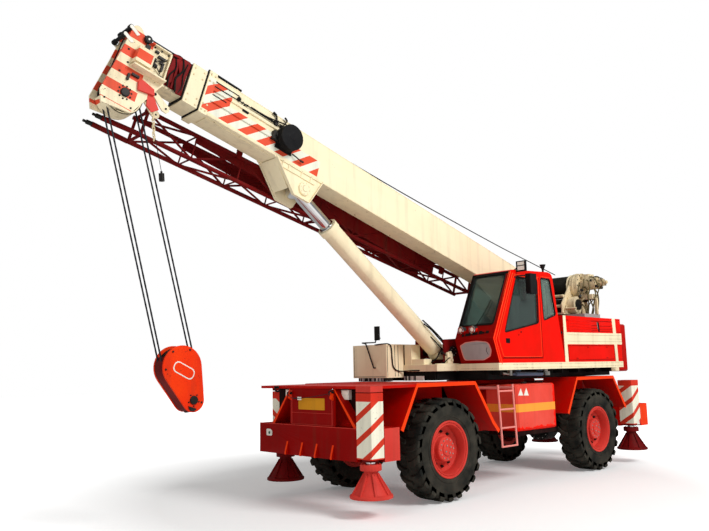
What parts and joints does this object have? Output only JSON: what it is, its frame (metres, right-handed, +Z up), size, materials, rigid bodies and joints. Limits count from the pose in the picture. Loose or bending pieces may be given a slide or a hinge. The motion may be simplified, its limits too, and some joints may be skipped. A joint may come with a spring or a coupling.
{
  "type": "mobile crane",
  "caption": "Rough-terrain crane on two steered axles with a slewing turret, cab, luffing telescopic box boom, stowed lattice jib, hook block and outriggers.",
  "frame": {"origin": "on the ground under the middle of the crane's overall length and width", "axes": "+X the driving direction, +Y towards the cab's side, +Z up"},
  "size_m": [11.3086, 2.9, 6.2723],
  "materials": {
    "carrier_red": "faded red enamel",
    "cab_red": "orange-red enamel",
    "cream": "cream enamel",
    "rim_red": "faded salmon red enamel",
    "tyre_black": "worn rubber",
    "dark_steel": "dark greasy steel",
    "chrome": "plated rod",
    "jib_red": "dark red enamel",
    "hook_red": "orange-red enamel",
    "glass": "tinted glazing",
    "black_plastic": "matt black"
  },
  "bodies": {
    "carrier": {"carrier_frame": "carrier_red", "front_outrigger_housing": "carrier_red", "rear_outrigger_housing": "carrier_red", "front_deck": "carrier_red", "rear_deck": "carrier_red", "left_side_tank": "cab_red", "right_side_tank": "cab_red", "left_ladder": "carrier_red", "front_axle": "dark_steel", "rear_axle": "dark_steel", "slewing_ring": "dark_steel"},
    "turret": {"turret_deck": "cream", "counterweight": "carrier_red", "left_boom_bracket": "carrier_red", "right_boom_bracket": "carrier_red", "winch_frame": "cream", "engine_hood": "cab_red", "engine_block": "dark_steel", "right_cabinet": "cream", "cab_shell": "cab_red", "windscreen": "glass", "cab_seat": "black_plastic", "cab_console": "black_plastic"},
    "cab_door": {"cab_door": "cab_red", "door_glass": "glass"},
    "winch": {"winch_drum": "dark_steel"},
    "auxiliary_winch": {"auxiliary_winch_drum": "dark_steel"},
    "boom_pin": {"boom_foot_pin": "dark_steel"},
    "lift_pin": {"lift_foot_pin": "dark_steel"},
    "boom_base": {"boom_base": "cream", "lattice_jib": "jib_red", "hose_reel": "black_plastic"},
    "boom_mid": {"boom_mid": "cream"},
    "boom_tip": {"boom_tip": "cream"},
    "sheaves": {"head_sheaves": "dark_steel"},
    "hook": {"hook_block": "hook_red"},
    "lift_barrel": {"lift_cylinder_barrel": "cream"},
    "lift_sleeve": {"lift_cylinder_sleeve": "chrome"},
    "lift_rod": {"lift_cylinder_rod": "chrome"},
    "left_front_knuckle": {"left_front_knuckle": "dark_steel"},
    "left_front_wheel": {"left_front_rim": "rim_red", "left_front_tyre": "tyre_black"},
    "right_front_knuckle": {"right_front_knuckle": "dark_steel"},
    "right_front_wheel": {"right_front_rim": "rim_red", "right_front_tyre": "tyre_black"},
    "left_front_beam": {"left_front_outrigger_beam": "carrier_red"},
    "left_front_foot": {"left_front_jack_foot": "carrier_red"},
    "right_front_beam": {"right_front_outrigger_beam": "carrier_red"},
    "right_front_foot": {"right_front_jack_foot": "carrier_red"},
    "left_rear_knuckle": {"left_rear_knuckle": "dark_steel"},
    "left_rear_wheel": {"left_rear_rim": "rim_red", "left_rear_tyre": "tyre_black"},
    "right_rear_knuckle": {"right_rear_knuckle": "dark_steel"},
    "right_rear_wheel": {"right_rear_rim": "rim_red", "right_rear_tyre": "tyre_black"},
    "left_rear_beam": {"left_rear_outrigger_beam": "carrier_red"},
    "left_rear_foot": {"left_rear_jack_foot": "carrier_red"},
    "right_rear_beam": {"right_rear_outrigger_beam": "carrier_red"},
    "right_rear_foot": {"right_rear_jack_foot": "carrier_red"}
  },
  "joints": [
    {"name": "turret_slew", "type": "hinge", "parent": "carrier", "child": "turret", "pos_m": [-1.804, 0, 1.93], "axis": [0, 0, 1], "continuous": true},
    {"name": "boom_luff_down", "type": "hinge", "parent": "turret", "child": "boom_pin", "pos_m": [-3.004, 0, 3.34], "axis": [0, -1, 0], "range_deg": [-16.8, 0]},
    {"name": "boom_luff_up", "type": "hinge", "parent": "boom_pin", "child": "boom_base", "pos_m": [-3.004, 0, 3.34], "axis": [0, -1, 0], "range_deg": [0, 58]},
    {"name": "boom_mid_extend", "type": "slide", "parent": "boom_base", "child": "boom_mid", "axis": [0.957, 0, 0.2902], "range_m": [0, 5.9]},
    {"name": "boom_tip_extend", "type": "slide", "parent": "boom_mid", "child": "boom_tip", "axis": [0.957, 0, 0.2902], "range_m": [0, 5.9]},
    {"name": "hook_hang_down", "type": "hinge", "parent": "boom_tip", "child": "sheaves", "pos_m": [5.3452, 0, 5.33897], "axis": [0, -1, 0], "range_deg": [-0.5, 17.3]},
    {"name": "hook_hang_up", "type": "hinge", "parent": "sheaves", "child": "hook", "pos_m": [5.3452, 0, 5.33897], "axis": [0, -1, 0], "range_deg": [-43.9, 0.5]},
    {"name": "lift_tilt_down", "type": "hinge", "parent": "turret", "child": "lift_pin", "pos_m": [-0.504, 0, 2.2], "axis": [0, -1, 0], "range_deg": [-25.68, 0.5]},
    {"name": "lift_tilt_up", "type": "hinge", "parent": "lift_pin", "child": "lift_barrel", "pos_m": [-0.504, 0, 2.2], "axis": [0, -1, 0], "range_deg": [-0.5, 58.08]},
    {"name": "lift_sleeve_extend", "type": "slide", "parent": "lift_barrel", "child": "lift_sleeve", "axis": [0.7933, 0, 0.6088], "range_m": [-0.01, 2.6739]},
    {"name": "lift_rod_retract", "type": "slide", "parent": "lift_sleeve", "child": "lift_rod", "axis": [0.7933, 0, 0.6088], "range_m": [-0.6214, 0.01]},
    {"name": "cab_door_swing", "type": "hinge", "parent": "turret", "child": "cab_door", "pos_m": [-1.826, 1.252, 2.7], "axis": [0, 0, 1], "range_deg": [0, 100]},
    {"name": "winch_drum_turn", "type": "hinge", "parent": "turret", "child": "winch", "pos_m": [-4.454, 0, 3.54], "axis": [0, 1, 0], "continuous": true},
    {"name": "auxiliary_winch_turn", "type": "hinge", "parent": "turret", "child": "auxiliary_winch", "pos_m": [-4.174, 0, 3.14], "axis": [0, 1, 0], "continuous": true},
    {"name": "left_front_steer", "type": "hinge", "parent": "carrier", "child": "left_front_knuckle", "pos_m": [0.696, 0.8, 0.745], "axis": [0, 0, 1], "range_deg": [-28, 28]},
    {"name": "left_front_wheel_turn", "type": "hinge", "parent": "left_front_knuckle", "child": "left_front_wheel", "pos_m": [0.696, 1.005, 0.745], "axis": [0, 1, 0], "continuous": true},
    {"name": "right_front_steer", "type": "hinge", "parent": "carrier", "child": "right_front_knuckle", "pos_m": [0.696, -0.8, 0.745], "axis": [0, 0, 1], "range_deg": [-28, 28]},
    {"name": "right_front_wheel_turn", "type": "hinge", "parent": "right_front_knuckle", "child": "right_front_wheel", "pos_m": [0.696, -1.005, 0.745], "axis": [0, 1, 0], "continuous": true},
    {"name": "left_front_beam_extend", "type": "slide", "parent": "carrier", "child": "left_front_beam", "axis": [0, 1, 0], "range_m": [0, 1.35]},
    {"name": "left_front_jack_lower", "type": "slide", "parent": "left_front_beam", "child": "left_front_foot", "axis": [0, 0, -1], "range_m": [0, 0.55]},
    {"name": "right_front_beam_extend", "type": "slide", "parent": "carrier", "child": "right_front_beam", "axis": [0, -1, 0], "range_m": [0, 1.35]},
    {"name": "right_front_jack_lower", "type": "slide", "parent": "right_front_beam", "child": "right_front_foot", "axis": [0, 0, -1], "range_m": [0, 0.55]},
    {"name": "left_rear_steer", "type": "hinge", "parent": "carrier", "child": "left_rear_knuckle", "pos_m": [-3.604, 0.8, 0.745], "axis": [0, 0, 1], "range_deg": [-28, 28]},
    {"name": "left_rear_wheel_turn", "type": "hinge", "parent": "left_rear_knuckle", "child": "left_rear_wheel", "pos_m": [-3.604, 1.005, 0.745], "axis": [0, 1, 0], "continuous": true},
    {"name": "right_rear_steer", "type": "hinge", "parent": "carrier", "child": "right_rear_knuckle", "pos_m": [-3.604, -0.8, 0.745], "axis": [0, 0, 1], "range_deg": [-28, 28]},
    {"name": "right_rear_wheel_turn", "type": "hinge", "parent": "right_rear_knuckle", "child": "right_rear_wheel", "pos_m": [-3.604, -1.005, 0.745], "axis": [0, 1, 0], "continuous": true},
    {"name": "left_rear_beam_extend", "type": "slide", "parent": "carrier", "child": "left_rear_beam", "axis": [0, 1, 0], "range_m": [0, 1.35]},
    {"name": "left_rear_jack_lower", "type": "slide", "parent": "left_rear_beam", "child": "left_rear_foot", "axis": [0, 0, -1], "range_m": [0, 0.55]},
    {"name": "right_rear_beam_extend", "type": "slide", "parent": "carrier", "child": "right_rear_beam", "axis": [0, -1, 0], "range_m": [0, 1.35]},
    {"name": "right_rear_jack_lower", "type": "slide", "parent": "right_rear_beam", "child": "right_rear_foot", "axis": [0, 0, -1], "range_m": [0, 0.55]}
  ],
  "couplings": [
    {"joint": "boom_tip_extend", "follows": "boom_mid_extend", "ratio": 1},
    {"joint": "hook_hang_down", "follows": "boom_luff_down", "ratio": -1},
    {"joint": "hook_hang_up", "follows": "boom_luff_up", "ratio": -0.7483},
    {"joint": "lift_tilt_down", "follows": "boom_luff_down", "ratio": 1.499},
    {"joint": "lift_tilt_up", "follows": "boom_luff_up", "ratio": 0.9928},
    {"joint": "lift_sleeve_extend", "follows": "boom_luff_up", "m_per_rad": 2.6316},
    {"joint": "lift_rod_retract", "follows": "boom_luff_down", "m_per_rad": 2.0852},
    {"joint": "right_front_steer", "follows": "left_front_steer", "ratio": 1},
    {"joint": "right_rear_steer", "follows": "left_rear_steer", "ratio": 1}
  ]
}
